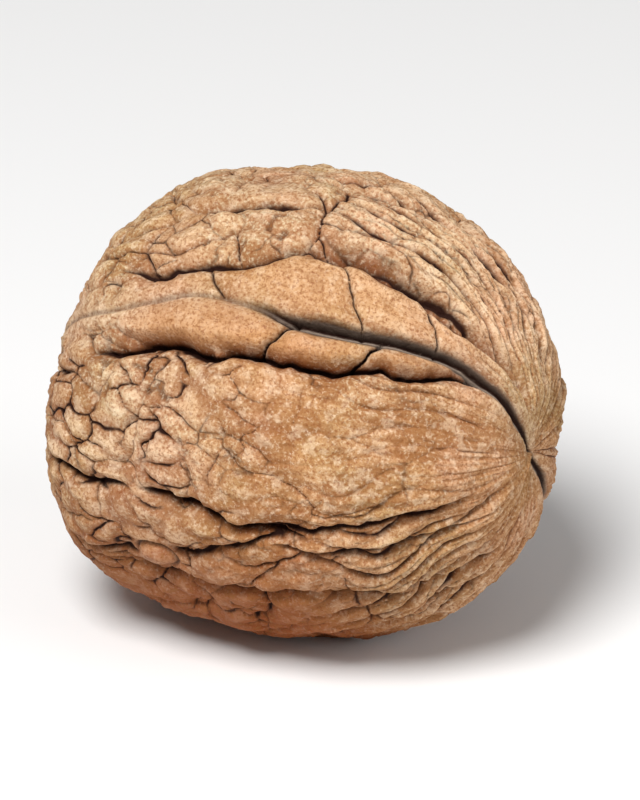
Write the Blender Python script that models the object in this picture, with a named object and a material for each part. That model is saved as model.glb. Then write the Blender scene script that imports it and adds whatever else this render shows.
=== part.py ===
"""A walnut in its shell, lying on its side.

The shell is one closed body. Its two cheeks are grown together along a seam, which runs over both ends.
The surface is worked out on an ellipsoid from a latitude and a longitude: latitude runs from -90 degrees at
the blunt end to 90 degrees at the seam's open end, on +X, and longitude turns about the long axis, from 0 at
the front, -Y, through 90 at the top. Furrows, ridges, the seam and a net of cracks are then sunk into it.
"""

import math

import bmesh
import bpy
import numpy as np

MM = 0.001

# The ellipsoid, which the relief shortens and thickens a little, and the slope the nut lies at.
LENGTH = 43.0 * MM
THICKNESS = 38.4 * MM
PITCH = math.radians(1.0)

# The slow shape of the body: a square shoulder near the blunt end, its low front corner and the two ends.
SHOULDER_HEIGHT = 1.1 * MM
SHOULDER_LATITUDE = -36
SHOULDER_SPREAD = 18
CORNER_HEIGHT = 1.9 * MM
CORNER_LATITUDE = -42
CORNER_LONGITUDE = -42
CORNER_LENGTH = 20
CORNER_WIDTH = 42
BLUNT_END_SINK = 1.4 * MM
BLUNT_END_FROM = -60
OPEN_END_DIMPLE = 0.9 * MM
OPEN_END_SPREAD = 13
LUMP_HEIGHT = 0.28 * MM
LUMP_LENGTH = 24 * MM
SWELL_HEIGHT = 0.16 * MM
SWELL_LENGTH = 8 * MM

# The seam, as (latitude, longitude) along its upper and its lower line.
SEAM_ABOVE = (
    (-90, 34), (-61, 35), (-35, 38), (-23, 42), (-14, 46), (-4, 48), (4, 48), (11, 47), (23, 47), (41, 52),
    (59, 58), (90, 60),
)
SEAM_BELOW = ((-90, -146), (-50, -138), (-20, -131), (20, -134), (50, -127), (90, -122))
SEAM_VALLEY_DEPTH = 0.55 * MM
SEAM_VALLEY_WIDTH = 4.5 * MM
SEAM_RIDGE_HEIGHT = 0.55 * MM
SEAM_RIDGE_WIDTH = 1.4 * MM

# The crack along the seam: shallow where the cheeks are joined, and open from one latitude to the other.
SEAM_CRACK_DEPTH = 3.2 * MM
SEAM_CRACK_WIDTH = 1.15 * MM
SEAM_CLOSED_SHARE = 0.22
SEAM_OPENS_FROM = 0
SEAM_OPEN_AT = 30

# The furrows of the front: depth, width of the lower and the upper side, and line as (latitude, longitude).
UNDER_LIP = ((-34, 27), (-19, 32), (0, 34), (19, 35), (33, 39), (42, 42), (50, 46), (66, 58))
OVER_LIP = ((-30, 49), (-21, 52), (-10, 54), (-3, 58), (7, 64), (18, 71), (32, 70), (43, 69), (68, 79))
FRONT_FURROWS = (
    (1.9 * MM, 1.0 * MM, 1.6 * MM, UNDER_LIP),
    (2.6 * MM, 1.5 * MM, 2.7 * MM, ((9, 66), (18, 71), (32, 70), (43, 69), (54, 72), (65, 78), (80, 90))),
    (0.9 * MM, 1.2 * MM, 1.9 * MM, ((-32, 49), (-21, 52), (-10, 54), (-3, 58), (7, 64), (17, 71))),
    (0.9 * MM, 1.2 * MM, 1.4 * MM, ((-48, 58), (-34, 63), (-24, 70), (-16, 74), (-5, 78), (12, 84))),
    (1.1 * MM, 1.2 * MM, 1.4 * MM, ((-48, -11), (-34, -8), (-18, -6))),
    (1.7 * MM, 1.4 * MM, 1.3 * MM, ((-16, -4), (-2, -7), (11, -10), (26, -12))),
    (1.1 * MM, 1.6 * MM, 1.3 * MM, ((13, -9), (33, -10), (49, -9), (66, -6))),
    (0.8 * MM, 1.2 * MM, 1.2 * MM, ((16, -15), (35, -18), (46, -21), (58, -21), (78, -14))),
    (0.9 * MM, 1.2 * MM, 1.3 * MM, ((-38, -32), (-18, -26), (-5, -22), (9, -16), (26, -9))),
    (1.1 * MM, 1.3 * MM, 1.3 * MM, ((-28, -31), (-9, -32), (18, -33), (44, -44), (68, -56))),
    (1.0 * MM, 1.4 * MM, 1.4 * MM, ((0, 95), (22, 105), (42, 115), (54, 116), (72, 130))),
    (1.0 * MM, 1.3 * MM, 1.3 * MM, ((-62, 70), (-50, 78), (-38, 90), (-20, 97))),
    (0.8 * MM, 1.2 * MM, 1.2 * MM, ((-60, 14), (-48, 20), (-36, 22))),
)
FURROW_WANDER = 0.25 * MM
FURROW_WANDER_LENGTH = 6 * MM

# The furrows of the other sides, laid out by rule between these longitudes.
BACK_FROM = 118
BACK_TO = 305
BACK_FURROWS = 14
BACK_DEPTH = 1.35 * MM
BACK_WIDTH = 1.4 * MM
BACK_SWAY = 3.5
BACK_SEED = 11

# The lips of the seam, two rows of smooth pads shaped like lenses: the swelling, the reach of the rounding
# at its edges, the share of the crack depth, the slant of the cracks, the lines under and over the row, the
# latitudes it runs between and those of the short cracks that part its pads.
LIPS = (
    (1.0 * MM, 1.9 * MM, 1.0, 0.3, UNDER_LIP, SEAM_ABOVE, (-26, 64), (12.5, 33.5)),
    (0.8 * MM, 3.2 * MM, 0.3, -0.4, SEAM_ABOVE, OVER_LIP, (-24, 62), (-6, 25, 45)),
)
LIP_FADE = 9
LIP_CRACK_DEPTH = 1.0 * MM
LIP_CRACK_WIDTH = 0.8 * MM
LIP_PINCH = 0.7 * MM
LIP_PINCH_LENGTH = 2.2 * MM
LIP_EDGE = 0.3 * MM

# The ridges that run together at both ends, and the smoother middle of the front cheek.
RIDGES = 44
RIDGE_DEPTH = 0.8 * MM
RIDGE_SHARPNESS = 3
RIDGE_WANDER = 0.4
RIDGE_WANDER_LENGTH = 12 * MM
UPPER_RIDGES_LONGITUDE = 92
UPPER_RIDGES_WIDTH = 32
BLUNT_END_RIDGES = 0.7
SMOOTH_CHEEK_LONGITUDE = 18
SMOOTH_CHEEK_WIDTH = 32
SMOOTH_CHEEK_SHARE = 0.75

# The net of cracks, which parts the surface into pads.
NET_ROWS = 7
NET_COLUMNS = 25
NET_JITTER = 0.42
NET_DEPTH = 0.5 * MM
NET_WIDTH = 0.9 * MM
NET_WANDER = 0.7 * MM
NET_WANDER_LENGTH = 7 * MM
NET_NEIGHBOURS = 6
NET_WEAKEST = 0.12
NET_STRONGEST = 0.6
NET_SEED = 5
PAD_SWELL = 0.35 * MM
PAD_ROUNDING = 3.0 * MM
PAD_STEP = 0.2 * MM
NET_LEFT_IN_RIDGES = 0.35

# How much of the relief is left at the ends, where everything runs together.
END_SHARE = 0.3

# The spot it rests on, the mesh before it is thinned out and the triangles that stay.
SPOT_DEPTH = 1.0 * MM
MERIDIANS = 420
PARALLELS = 220
TRIANGLES = 11800
BATCH = 20000

SHELL_COLOUR = (0.52, 0.29, 0.135, 1.0)
SHELL_ROUGHNESS = 0.72


def clear_scene():
    for obj in list(bpy.data.objects):
        bpy.data.objects.remove(obj)


def ramp(value, low, high):
    """0 at low, 1 at high, and smooth between them."""
    share = np.clip((value - low) / (high - low), 0, 1)
    return share * share * (3 - 2 * share)


def bell(value, width):
    return np.exp(-((value / width) ** 2))


def waves(points, length, seed, count=28):
    """A smooth random field of about unit size, made of plane waves near this length."""
    rng = np.random.default_rng(seed)
    ways = rng.normal(size=(count, 3))
    ways *= 2 * math.pi / length * (rng.uniform(0.7, 1.4, count) / np.linalg.norm(ways, axis=1))[:, None]
    phases = rng.uniform(0, 2 * math.pi, count)
    total = np.zeros(len(points))
    for way, phase in zip(ways, phases):
        total += np.sin(points @ way + phase)
    return total * math.sqrt(2 / count)


def end_fading(latitude):
    return END_SHARE + (1 - END_SHARE) * np.cos(np.radians(latitude))


def turn_from(longitude, start):
    """The turn about the long axis from one longitude to another, between -180 and 180 degrees."""
    return (longitude - start + 180) % 360 - 180


def line_longitude(line, latitude):
    """The longitude of a line at each latitude, its corners rounded by averaging nearby readings."""
    latitudes, longitudes = zip(*line)
    reach = (-6, -3, 0, 3, 6)
    return sum(np.interp(latitude + step, latitudes, longitudes) for step in reach) / len(reach)


def across(line, latitude, longitude):
    """The distance from a line, measured round the nut and positive to higher longitudes."""
    turn = turn_from(longitude, line_longitude(line, latitude))
    return np.radians(turn) * THICKNESS / 2 * np.cos(np.radians(latitude))


def body(latitude, longitude):
    """Points and outward normals of the plain ellipsoid."""
    lat, lon = np.radians(latitude), np.radians(longitude)
    unit = np.stack([np.sin(lat), -np.cos(lat) * np.cos(lon), np.cos(lat) * np.sin(lon)], axis=1)
    half = np.array([LENGTH, THICKNESS, THICKNESS]) / 2
    normals = unit / half
    return unit * half, normals / np.linalg.norm(normals, axis=1)[:, None]


def body_swelling(points, latitude, longitude):
    """The blunt end's square shoulder and its low corner, the dimple of the open end and slow unevenness."""
    height = SHOULDER_HEIGHT * bell(latitude - SHOULDER_LATITUDE, SHOULDER_SPREAD)
    corner = bell(turn_from(longitude, CORNER_LONGITUDE), CORNER_WIDTH)
    height += CORNER_HEIGHT * corner * bell(latitude - CORNER_LATITUDE, CORNER_LENGTH)
    height -= BLUNT_END_SINK * ramp(latitude, BLUNT_END_FROM, -90)
    height -= OPEN_END_DIMPLE * bell(latitude - 90, OPEN_END_SPREAD)
    height += LUMP_HEIGHT * waves(points, LUMP_LENGTH, seed=1)
    return height + SWELL_HEIGHT * waves(points, SWELL_LENGTH, seed=2)


def notch(offset, width):
    """A cut with straight sides that ease off towards its edges: 1 at the middle, 0 from the width on."""
    return np.clip(1 - np.abs(offset) / width, 0, 1) ** 1.5


def furrow_depth(furrow, wander, latitude, longitude):
    """One furrow, which narrows towards the ends of the nut and runs out at its own."""
    depth, width_below, width_above, line = furrow
    start, end = line[0][0], line[-1][0]
    taper = ramp(latitude, start - 3, start + 9) * ramp(latitude, end + 3, end - 9)
    narrowing = end_fading(latitude)
    offset = across(line, latitude, longitude) / narrowing + wander
    return depth * narrowing * taper * notch(offset, np.where(offset > 0, width_above, width_below))


def back_furrows():
    """Furrows like those of the front, some longer towards the blunt end and some towards the open one."""
    rng = np.random.default_rng(BACK_SEED)
    for index in range(BACK_FURROWS):
        middle = BACK_FROM + (BACK_TO - BACK_FROM) * (index + rng.uniform(0.2, 0.8)) / BACK_FURROWS
        start = rng.uniform(-76, -30) if index % 2 else rng.uniform(-76, 0)
        end = rng.uniform(0, 78) if index % 2 else rng.uniform(30, 78)
        line = tuple((latitude, middle + rng.normal(0, BACK_SWAY)) for latitude in np.linspace(start, end, 6))
        depth, below, above = rng.uniform(0.7, 1.3, 3) * (BACK_DEPTH, BACK_WIDTH, BACK_WIDTH)
        yield depth, below, above, line


def lip_mask(lip, latitude, longitude):
    """1 on the pads of one lip and 0 elsewhere."""
    _, _, _, _, under, over, (start, end), _ = lip
    above_under = ramp(across(under, latitude, longitude), -LIP_EDGE, LIP_EDGE)
    below_over = ramp(across(over, latitude, longitude), LIP_EDGE, -LIP_EDGE)
    length = ramp(latitude, start, start + LIP_FADE) * ramp(latitude, end, end - LIP_FADE)
    return above_under * below_over * length


def lip_relief(lip, latitude, longitude):
    """The pads of one lip, swollen between its two lines and parted by short cracks, where they narrow."""
    swell, rounding, share, slant, under, over, _, places = lip
    low, high = across(under, latitude, longitude), -across(over, latitude, longitude)
    lean = slant * (low - high)
    from_cracks = [np.abs((latitude - place) * LENGTH / 2 * np.radians(1) - lean) for place in places]
    pinch = LIP_PINCH * share * sum(bell(distance, LIP_PINCH_LENGTH) for distance in from_cracks)
    edges = [np.maximum(distance, LIP_EDGE / 10) for distance in [low - pinch, high - pinch, *from_cracks]]
    inside = sum(edge ** -2.0 for edge in edges) ** -0.5
    cracks = share * LIP_CRACK_DEPTH * sum(notch(distance, LIP_CRACK_WIDTH) for distance in from_cracks)
    return lip_mask(lip, latitude, longitude) * (swell * ramp(inside, 0, rounding) - cracks)


def ridge_grooves(points, latitude, longitude):
    """Grooves between the ridges of both ends, longer at the open end and faint on the front of its cheek."""
    phase = longitude / 360 * RIDGES + RIDGE_WANDER * waves(points, RIDGE_WANDER_LENGTH, seed=8)
    groove = (2 * np.abs(phase % 1 - 0.5)) ** RIDGE_SHARPNESS
    smooth = SMOOTH_CHEEK_SHARE * bell(turn_from(longitude, SMOOTH_CHEEK_LONGITUDE), SMOOTH_CHEEK_WIDTH)
    upper = ramp(latitude, 0, 24) * bell(turn_from(longitude, UPPER_RIDGES_LONGITUDE), UPPER_RIDGES_WIDTH)
    open_end = np.maximum(ramp(latitude, 12, 40), upper) * (1 - smooth)
    share = open_end + BLUNT_END_RIDGES * ramp(latitude, -48, -66)
    return RIDGE_DEPTH * share * groove * ramp(np.abs(latitude), 88, 40)


def pad_middles(rng):
    """Middles of the pads, on a cylinder as long and as thick as the nut."""
    middles = []
    for row in range(NET_ROWS):
        for column in range(NET_COLUMNS):
            along = (row + 0.5 + rng.uniform(-NET_JITTER, NET_JITTER)) / NET_ROWS - 0.5
            turn = (column + 0.5 * (row % 2) + rng.uniform(-NET_JITTER, NET_JITTER)) / NET_COLUMNS
            way = (math.cos(2 * math.pi * turn), math.sin(2 * math.pi * turn))
            middles.append((LENGTH * along, THICKNESS / 2 * way[0], THICKNESS / 2 * way[1]))
    return np.array(middles)


def pad_heights(places, middles, strength, steps):
    """Heights at these places, from how near each lies to the borders between its pad and its neighbours."""
    squares = ((places[:, None, :] - middles[None]) ** 2).sum(axis=2)
    near = np.argpartition(squares, NET_NEIGHBOURS, axis=1)[:, :NET_NEIGHBOURS]
    order = np.argsort(np.take_along_axis(squares, near, axis=1), axis=1)
    own, *others = np.take_along_axis(near, order, axis=1).T
    rows = np.arange(len(places))
    crack = np.zeros(len(places))
    inside = np.full(len(places), PAD_ROUNDING)
    step = steps[own]
    for other in others:
        gap = np.linalg.norm(middles[own] - middles[other], axis=1)
        edge = (squares[rows, other] - squares[rows, own]) / (2 * gap)
        crack = np.maximum(crack, strength[own, other] * notch(edge, NET_WIDTH))
        inside = np.minimum(inside, edge + PAD_ROUNDING * (1 - strength[own, other]))
        step += (steps[other] - steps[own]) / 2 * ramp(edge, NET_WIDTH / 2, 0)
    return step + PAD_SWELL * ramp(inside, 0, PAD_ROUNDING) - NET_DEPTH * crack


def pads(points, latitude, longitude):
    """The pads that a net of cracks parts: each swells from its edge and stands a little higher or lower."""
    rng = np.random.default_rng(NET_SEED)
    middles = pad_middles(rng)
    strength = np.triu(rng.uniform(0, 1, (len(middles), len(middles))), 1)
    strength = ramp(strength + strength.T, NET_WEAKEST, NET_STRONGEST)
    steps = PAD_STEP * rng.uniform(-1, 1, len(middles))
    lat, lon = np.radians(latitude), np.radians(longitude)
    places = np.stack([LENGTH * np.sin(lat), THICKNESS * np.cos(lon), THICKNESS * np.sin(lon)], axis=1) / 2
    for axis in range(3):
        places[:, axis] += NET_WANDER * waves(points, NET_WANDER_LENGTH, seed=40 + axis)
    batches = np.array_split(places, 1 + len(places) // BATCH)
    return np.concatenate([pad_heights(batch, middles, strength, steps) for batch in batches])


def seam_relief(latitude, longitude):
    """The seam's shallow valley, the ridge in it and the crack along the ridge."""
    height = np.zeros(len(latitude))
    open_share = SEAM_CLOSED_SHARE + (1 - SEAM_CLOSED_SHARE) * ramp(latitude, SEAM_OPENS_FROM, SEAM_OPEN_AT)
    crack_width = SEAM_CRACK_WIDTH * (1 + open_share) / 2
    for line in (SEAM_ABOVE, SEAM_BELOW):
        offset = across(line, latitude, longitude)
        side = SEAM_RIDGE_HEIGHT * bell(offset, SEAM_RIDGE_WIDTH * end_fading(latitude))
        side -= SEAM_VALLEY_DEPTH * bell(offset, SEAM_VALLEY_WIDTH)
        side -= SEAM_CRACK_DEPTH * open_share * notch(offset, crack_width)
        near = np.abs(turn_from(longitude, line_longitude(line, latitude))) < 90
        height += np.where(near, side, 0)
    return height * end_fading(latitude)


def relief(points, latitude, longitude):
    """How far the finished surface stands above the ellipsoid."""
    wander = FURROW_WANDER * waves(points, FURROW_WANDER_LENGTH, seed=3)
    furrows = [*FRONT_FURROWS, *back_furrows()]
    deepest = np.maximum.reduce([furrow_depth(furrow, wander, latitude, longitude) for furrow in furrows])
    seams = [across(line, latitude, longitude) for line in (SEAM_ABOVE, SEAM_BELOW)]
    on_seam = np.clip(sum(bell(offset, SEAM_RIDGE_WIDTH) for offset in seams), 0, 1)
    lips = sum(lip_mask(lip, latitude, longitude) for lip in LIPS)
    plain = (1 - np.clip(lips, 0, 1)) * (1 - on_seam)
    net_share = plain * end_fading(latitude) * (1 - (1 - NET_LEFT_IN_RIDGES) * ramp(latitude, 25, 55))
    height = body_swelling(points, latitude, longitude) + seam_relief(latitude, longitude) - deepest
    height += sum(lip_relief(lip, latitude, longitude) for lip in LIPS)
    height += net_share * pads(points, latitude, longitude)
    return height - plain * ridge_grooves(points, latitude, longitude)


def lay_down(points):
    """Tips the nut to the slope it lies at, flattens the spot it rests on and brings that spot to z = 0."""
    turn = np.array([
        [math.cos(PITCH), 0, -math.sin(PITCH)],
        [0, 1, 0],
        [math.sin(PITCH), 0, math.cos(PITCH)],
    ])
    points = points @ turn.T
    points[:, 2] = np.maximum(points[:, 2], points[:, 2].min() + SPOT_DEPTH)
    low, high = points.min(axis=0), points.max(axis=0)
    return points - [(low[0] + high[0]) / 2, (low[1] + high[1]) / 2, low[2]]


def read_points(mesh):
    points = np.empty(len(mesh.vertices) * 3)
    mesh.vertices.foreach_get("co", points)
    return points.reshape(-1, 3)


def dense_mesh():
    """A ball whose points are read as latitudes and longitudes and moved to the nut's surface."""
    mesh = bpy.data.meshes.new("dense walnut")
    ball = bmesh.new()
    bmesh.ops.create_uvsphere(ball, u_segments=MERIDIANS, v_segments=PARALLELS, radius=1)
    bmesh.ops.triangulate(ball, faces=ball.faces)
    ball.to_mesh(mesh)
    ball.free()
    sideways, away, along = read_points(mesh).T
    latitude = np.degrees(np.arcsin(np.clip(along, -1, 1)))
    longitude = np.degrees(np.arctan2(-away, sideways))
    points, normals = body(latitude, longitude)
    points += normals * relief(points, latitude, longitude)[:, None]
    mesh.vertices.foreach_set("co", points.ravel())
    return mesh


def thinned(mesh):
    """The same surface with fewer triangles, most of them kept where it bends."""
    dense = bpy.data.objects.new("dense walnut", mesh)
    bpy.context.scene.collection.objects.link(dense)
    thin_out = dense.modifiers.new("Thin out", "DECIMATE")
    thin_out.ratio = TRIANGLES / len(mesh.polygons)
    graph = bpy.context.evaluated_depsgraph_get()
    thin = bpy.data.meshes.new_from_object(dense.evaluated_get(graph))
    bpy.data.objects.remove(dense)
    return thin


def shell_material():
    material = bpy.data.materials.new("shell")
    material.use_nodes = True
    shader = material.node_tree.nodes["Principled BSDF"]
    shader.inputs["Base Color"].default_value = SHELL_COLOUR
    shader.inputs["Roughness"].default_value = SHELL_ROUGHNESS
    return material


def build():
    clear_scene()
    collection = bpy.data.collections.new("Walnut")
    bpy.context.scene.collection.children.link(collection)
    mesh = thinned(dense_mesh())
    mesh.name = "walnut"
    mesh.vertices.foreach_set("co", lay_down(read_points(mesh)).ravel())
    mesh.materials.append(shell_material())
    walnut = bpy.data.objects.new("walnut", mesh)
    collection.objects.link(walnut)


build()
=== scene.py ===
"""A walnut in its shell, lying on its side on a pale floor.

The shell is one piece, which replaces the plain solid of the part and follows its form closely. Places on it
are a latitude and a longitude in degrees: latitude runs from -90 at the blunt end to 90 at the end where the
seam gapes, on +X, and longitude turns about the long axis, from 0 at the front, -Y, through 90 at the top.
"""

import itertools
import math

import bpy
import numpy as np
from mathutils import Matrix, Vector


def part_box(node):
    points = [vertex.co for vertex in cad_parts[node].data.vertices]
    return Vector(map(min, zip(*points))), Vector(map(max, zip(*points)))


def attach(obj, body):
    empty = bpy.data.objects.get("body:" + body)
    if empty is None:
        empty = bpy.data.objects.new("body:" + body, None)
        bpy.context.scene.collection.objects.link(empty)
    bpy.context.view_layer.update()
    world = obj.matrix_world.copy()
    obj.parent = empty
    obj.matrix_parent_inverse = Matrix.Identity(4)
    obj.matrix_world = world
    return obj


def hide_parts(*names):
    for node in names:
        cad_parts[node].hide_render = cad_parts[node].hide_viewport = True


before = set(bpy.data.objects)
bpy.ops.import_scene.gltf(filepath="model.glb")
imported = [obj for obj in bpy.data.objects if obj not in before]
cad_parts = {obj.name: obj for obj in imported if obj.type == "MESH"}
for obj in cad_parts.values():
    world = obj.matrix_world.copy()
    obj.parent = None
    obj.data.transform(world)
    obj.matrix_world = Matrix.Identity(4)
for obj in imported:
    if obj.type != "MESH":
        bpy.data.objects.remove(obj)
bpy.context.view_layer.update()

# The camera stands a little above the nut and off to the side where the seam gapes. It stands well back,
# so the nut keeps its true outline, and a long lens brings it close.

MM = 0.001
CAMERA_AZIMUTH = math.radians(30)
CAMERA_ELEVATION = math.radians(24)
CAMERA_DISTANCE = 600 * MM
CAMERA_NEAREST = 10 * MM
VIEW_HEIGHT = 66 * MM
SENSOR = 36.0

nut_low, nut_high = (Vector(corner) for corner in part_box("walnut"))
nut_middle = (nut_low + nut_high) / 2


def direction(azimuth, elevation):
    """The way from the nut to something that stands at this azimuth, from -Y towards +X, and elevation."""
    run = math.cos(elevation)
    return Vector((math.sin(azimuth) * run, -math.cos(azimuth) * run, math.sin(elevation)))


def aim(thing, azimuth, elevation, distance):
    """Puts a camera or a lamp in its place and turns it to the nut."""
    way = direction(azimuth, elevation)
    thing.location = nut_middle + way * distance
    thing.rotation_euler = way.to_track_quat("Z", "Y").to_euler()
    bpy.context.scene.collection.objects.link(thing)


camera = bpy.data.objects.new("camera", bpy.data.cameras.new("camera"))
camera.data.sensor_width = SENSOR
camera.data.lens = SENSOR * CAMERA_DISTANCE / VIEW_HEIGHT
camera.data.clip_start = CAMERA_NEAREST
aim(camera, CAMERA_AZIMUTH, CAMERA_ELEVATION, CAMERA_DISTANCE)
bpy.context.scene.camera = camera

# The studio: a wide soft lamp overhead and a little to the right, a weak one from the right, and pale walls
# all round. The floor is matt and almost white.

LAMPS = (
    ("overhead lamp", math.radians(4), math.radians(55), 700 * MM, 330 * MM, 5.9),
    ("side lamp", math.radians(95), math.radians(25), 700 * MM, 400 * MM, 1.5),
)
WALL_COLOUR = (1, 1, 1, 1)
WALL_LIGHT = 0.22
FLOOR_SIZE = 4.0
FLOOR_COLOUR = (0.86, 0.855, 0.85, 1)
FLOOR_ROUGHNESS = 0.9

for name, azimuth, elevation, distance, size, power in LAMPS:
    lamp = bpy.data.objects.new(name, bpy.data.lights.new(name, "AREA"))
    lamp.data.shape = "DISK"
    lamp.data.size = size
    lamp.data.energy = power
    aim(lamp, azimuth, elevation, distance)

walls = bpy.data.worlds.new("studio walls")
walls.use_nodes = True
walls.node_tree.nodes["Background"].inputs["Color"].default_value = WALL_COLOUR
walls.node_tree.nodes["Background"].inputs["Strength"].default_value = WALL_LIGHT
bpy.context.scene.world = walls
bpy.context.scene.view_settings.view_transform = "Standard"

floor_mesh = bpy.data.meshes.new("floor")
half = FLOOR_SIZE / 2
floor_z = nut_low.z
floor_mesh.from_pydata(
    [(-half, -half, floor_z), (half, -half, floor_z), (half, half, floor_z), (-half, half, floor_z)],
    [], [(0, 1, 2, 3)],
)
floor_finish = bpy.data.materials.new("floor paint")
floor_finish.use_nodes = True
floor_finish.node_tree.nodes["Principled BSDF"].inputs["Base Color"].default_value = FLOOR_COLOUR
floor_finish.node_tree.nodes["Principled BSDF"].inputs["Roughness"].default_value = FLOOR_ROUGHNESS
floor_mesh.materials.append(floor_finish)
floor = bpy.data.objects.new("floor", floor_mesh)
bpy.context.scene.collection.objects.link(floor)

# The body of the nut is a short ellipsoid with a square shoulder near its blunt end, a low front corner,
# a flattened blunt end and a dimple at the other. It is a grown thing, so it is slowly uneven all over.

SHELL_LENGTH = 43.0 * MM
SHELL_THICKNESS = 38.4 * MM
SLOPE = math.radians(1.0)
SHOULDER_HEIGHT = 1.1 * MM
SHOULDER_LATITUDE = -36
SHOULDER_SPREAD = 18
CORNER_HEIGHT = 1.9 * MM
CORNER_LATITUDE = -42
CORNER_LONGITUDE = -42
CORNER_LENGTH = 20
CORNER_WIDTH = 42
BLUNT_END_SINK = 1.4 * MM
BLUNT_END_FROM = -60
DIMPLE_DEPTH = 0.9 * MM
DIMPLE_SPREAD = 13
LUMP_HEIGHT = 0.28 * MM
LUMP_LENGTH = 24 * MM
SWELL_HEIGHT = 0.16 * MM
SWELL_LENGTH = 8 * MM
RELIEF_AT_ENDS = 0.3
WAVE_COUNT = 28
WAVE_SPREAD = (0.7, 1.4)
MERIDIANS = 940
PARALLELS = 480


def ramp(value, low, high):
    """0 at low, 1 at high, and smooth between them."""
    share = np.clip((value - low) / (high - low), 0, 1)
    return share * share * (3 - 2 * share)


def bell(value, width):
    """1 at the middle, falling off smoothly on both sides over about this width."""
    return np.exp(-((value / width) ** 2))


def rising(least, share):
    """The least where the share is 0, 1 where the share is 1, and in step with it between."""
    return least + (1 - least) * share


def waves(points, length, seed):
    """A smooth random field of about unit size, made of plane waves near this length."""
    rng = np.random.default_rng(seed)
    ways = rng.normal(size=(WAVE_COUNT, 3))
    pitches = 2 * math.pi / length * (rng.uniform(*WAVE_SPREAD, WAVE_COUNT) / np.linalg.norm(ways, axis=1))
    ways *= pitches[:, None]
    phases = rng.uniform(0, 2 * math.pi, WAVE_COUNT)
    total = np.zeros(len(points))
    for way, phase in zip(ways, phases):
        total += np.sin(points @ way + phase)
    return total * math.sqrt(2 / WAVE_COUNT)


def turn_from(start):
    """The turn from one longitude to each point's, between -180 and 180 degrees."""
    return (longitude - start + 180) % 360 - 180


def shell_ball():
    """A ball of small faces with its poles on +Z and -Z, which is given the nut's shape point by point."""
    tilts = np.linspace(-math.pi / 2, math.pi / 2, PARALLELS + 1)[1:-1, None]
    turns = np.linspace(0, 2 * math.pi, MERIDIANS, endpoint=False)[None]
    across_ways = np.cos(tilts) * np.cos(turns), np.cos(tilts) * np.sin(turns)
    rings = np.stack([*across_ways, np.sin(tilts) + 0 * turns], axis=2)
    points = np.concatenate([rings.reshape(-1, 3), [(0, 0, -1), (0, 0, 1)]])
    numbers = np.arange((PARALLELS - 1) * MERIDIANS).reshape(PARALLELS - 1, MERIDIANS)
    beside = np.roll(numbers, -1, axis=1)
    faces = np.stack([numbers[:-1], beside[:-1], beside[1:], numbers[1:]], axis=2).reshape(-1, 4).tolist()
    bottom, top = len(points) - 2, len(points) - 1
    faces += [(bottom, second, first) for first, second in zip(numbers[0].tolist(), beside[0].tolist())]
    faces += [(top, first, second) for first, second in zip(numbers[-1].tolist(), beside[-1].tolist())]
    mesh = bpy.data.meshes.new("walnut shell")
    mesh.from_pydata(points, [], faces)
    return mesh


def read_points(mesh):
    """The places of a mesh's points, one row for each."""
    points = np.empty(len(mesh.vertices) * 3)
    mesh.vertices.foreach_get("co", points)
    return points.reshape(-1, 3)


ball_mesh = shell_ball()
sideways, away, upright = read_points(ball_mesh).T
latitude = np.degrees(np.arcsin(np.clip(upright, -1, 1)))
longitude = np.degrees(np.arctan2(-away, sideways))
turns = np.radians(longitude)
level = np.cos(np.radians(latitude))
ways_out = np.stack([upright, -level * np.cos(turns), level * np.sin(turns)], axis=1)
half_sizes = np.array([SHELL_LENGTH, SHELL_THICKNESS, SHELL_THICKNESS]) / 2
skin = ways_out * half_sizes
normals = ways_out / half_sizes
normals /= np.linalg.norm(normals, axis=1)[:, None]
end_fading = rising(RELIEF_AT_ENDS, level)

body = SHOULDER_HEIGHT * bell(latitude - SHOULDER_LATITUDE, SHOULDER_SPREAD)
body += (CORNER_HEIGHT * bell(turn_from(CORNER_LONGITUDE), CORNER_WIDTH)
         * bell(latitude - CORNER_LATITUDE, CORNER_LENGTH))
body -= BLUNT_END_SINK * ramp(latitude, BLUNT_END_FROM, -90)
body -= DIMPLE_DEPTH * bell(latitude - 90, DIMPLE_SPREAD)
body += LUMP_HEIGHT * waves(skin, LUMP_LENGTH, seed=1)
body += SWELL_HEIGHT * waves(skin, SWELL_LENGTH, seed=2)

# The seam, where the two halves of the shell are grown together, runs over both ends. It is a low ridge in
# a shallow valley, with a fine crack along it that gapes towards the dimpled end and shows grey fibres.

SEAM_ABOVE = (
    (-90, 34), (-61, 35), (-35, 38), (-23, 42), (-14, 46), (-4, 48), (4, 48), (11, 47), (23, 47), (41, 52),
    (59, 58), (90, 60),
)
SEAM_BELOW = ((-90, -146), (-50, -138), (-20, -131), (20, -134), (50, -127), (90, -122))
SEAM_VALLEY_DEPTH = 0.55 * MM
SEAM_VALLEY_WIDTH = 4.5 * MM
SEAM_RIDGE_HEIGHT = 0.55 * MM
SEAM_RIDGE_WIDTH = 1.4 * MM
SEAM_SLOPES_DEPTH = 1.2 * MM
SEAM_SLOPES_WIDTH = 1.15 * MM
SEAM_CRACK_DEPTH = 1.5 * MM
SEAM_CRACK_WIDTH = 0.62 * MM
SEAM_CLOSED_SHARE = 0.16
SEAM_CLOSED_WIDTH = 0.35
SEAM_CLOSED_DARKNESS = 0.22
SEAM_WIDTH_AT_ENDS = 0.45
SEAM_OPENS_FROM = 1
SEAM_OPEN_AT = 24
SEAM_FIBRES = 0.45 * MM
SEAM_FIBRE_PITCH = 0.5 * MM
SEAM_WANDER = 0.10 * MM
SEAM_WANDER_LENGTH = 5 * MM
SEAM_SIDE = 90
LINE_ROUNDING = (-6, -3, 0, 3, 6)
NOTCH_CURVE = 1.5
CRACK_STEEPNESS = 4


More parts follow.
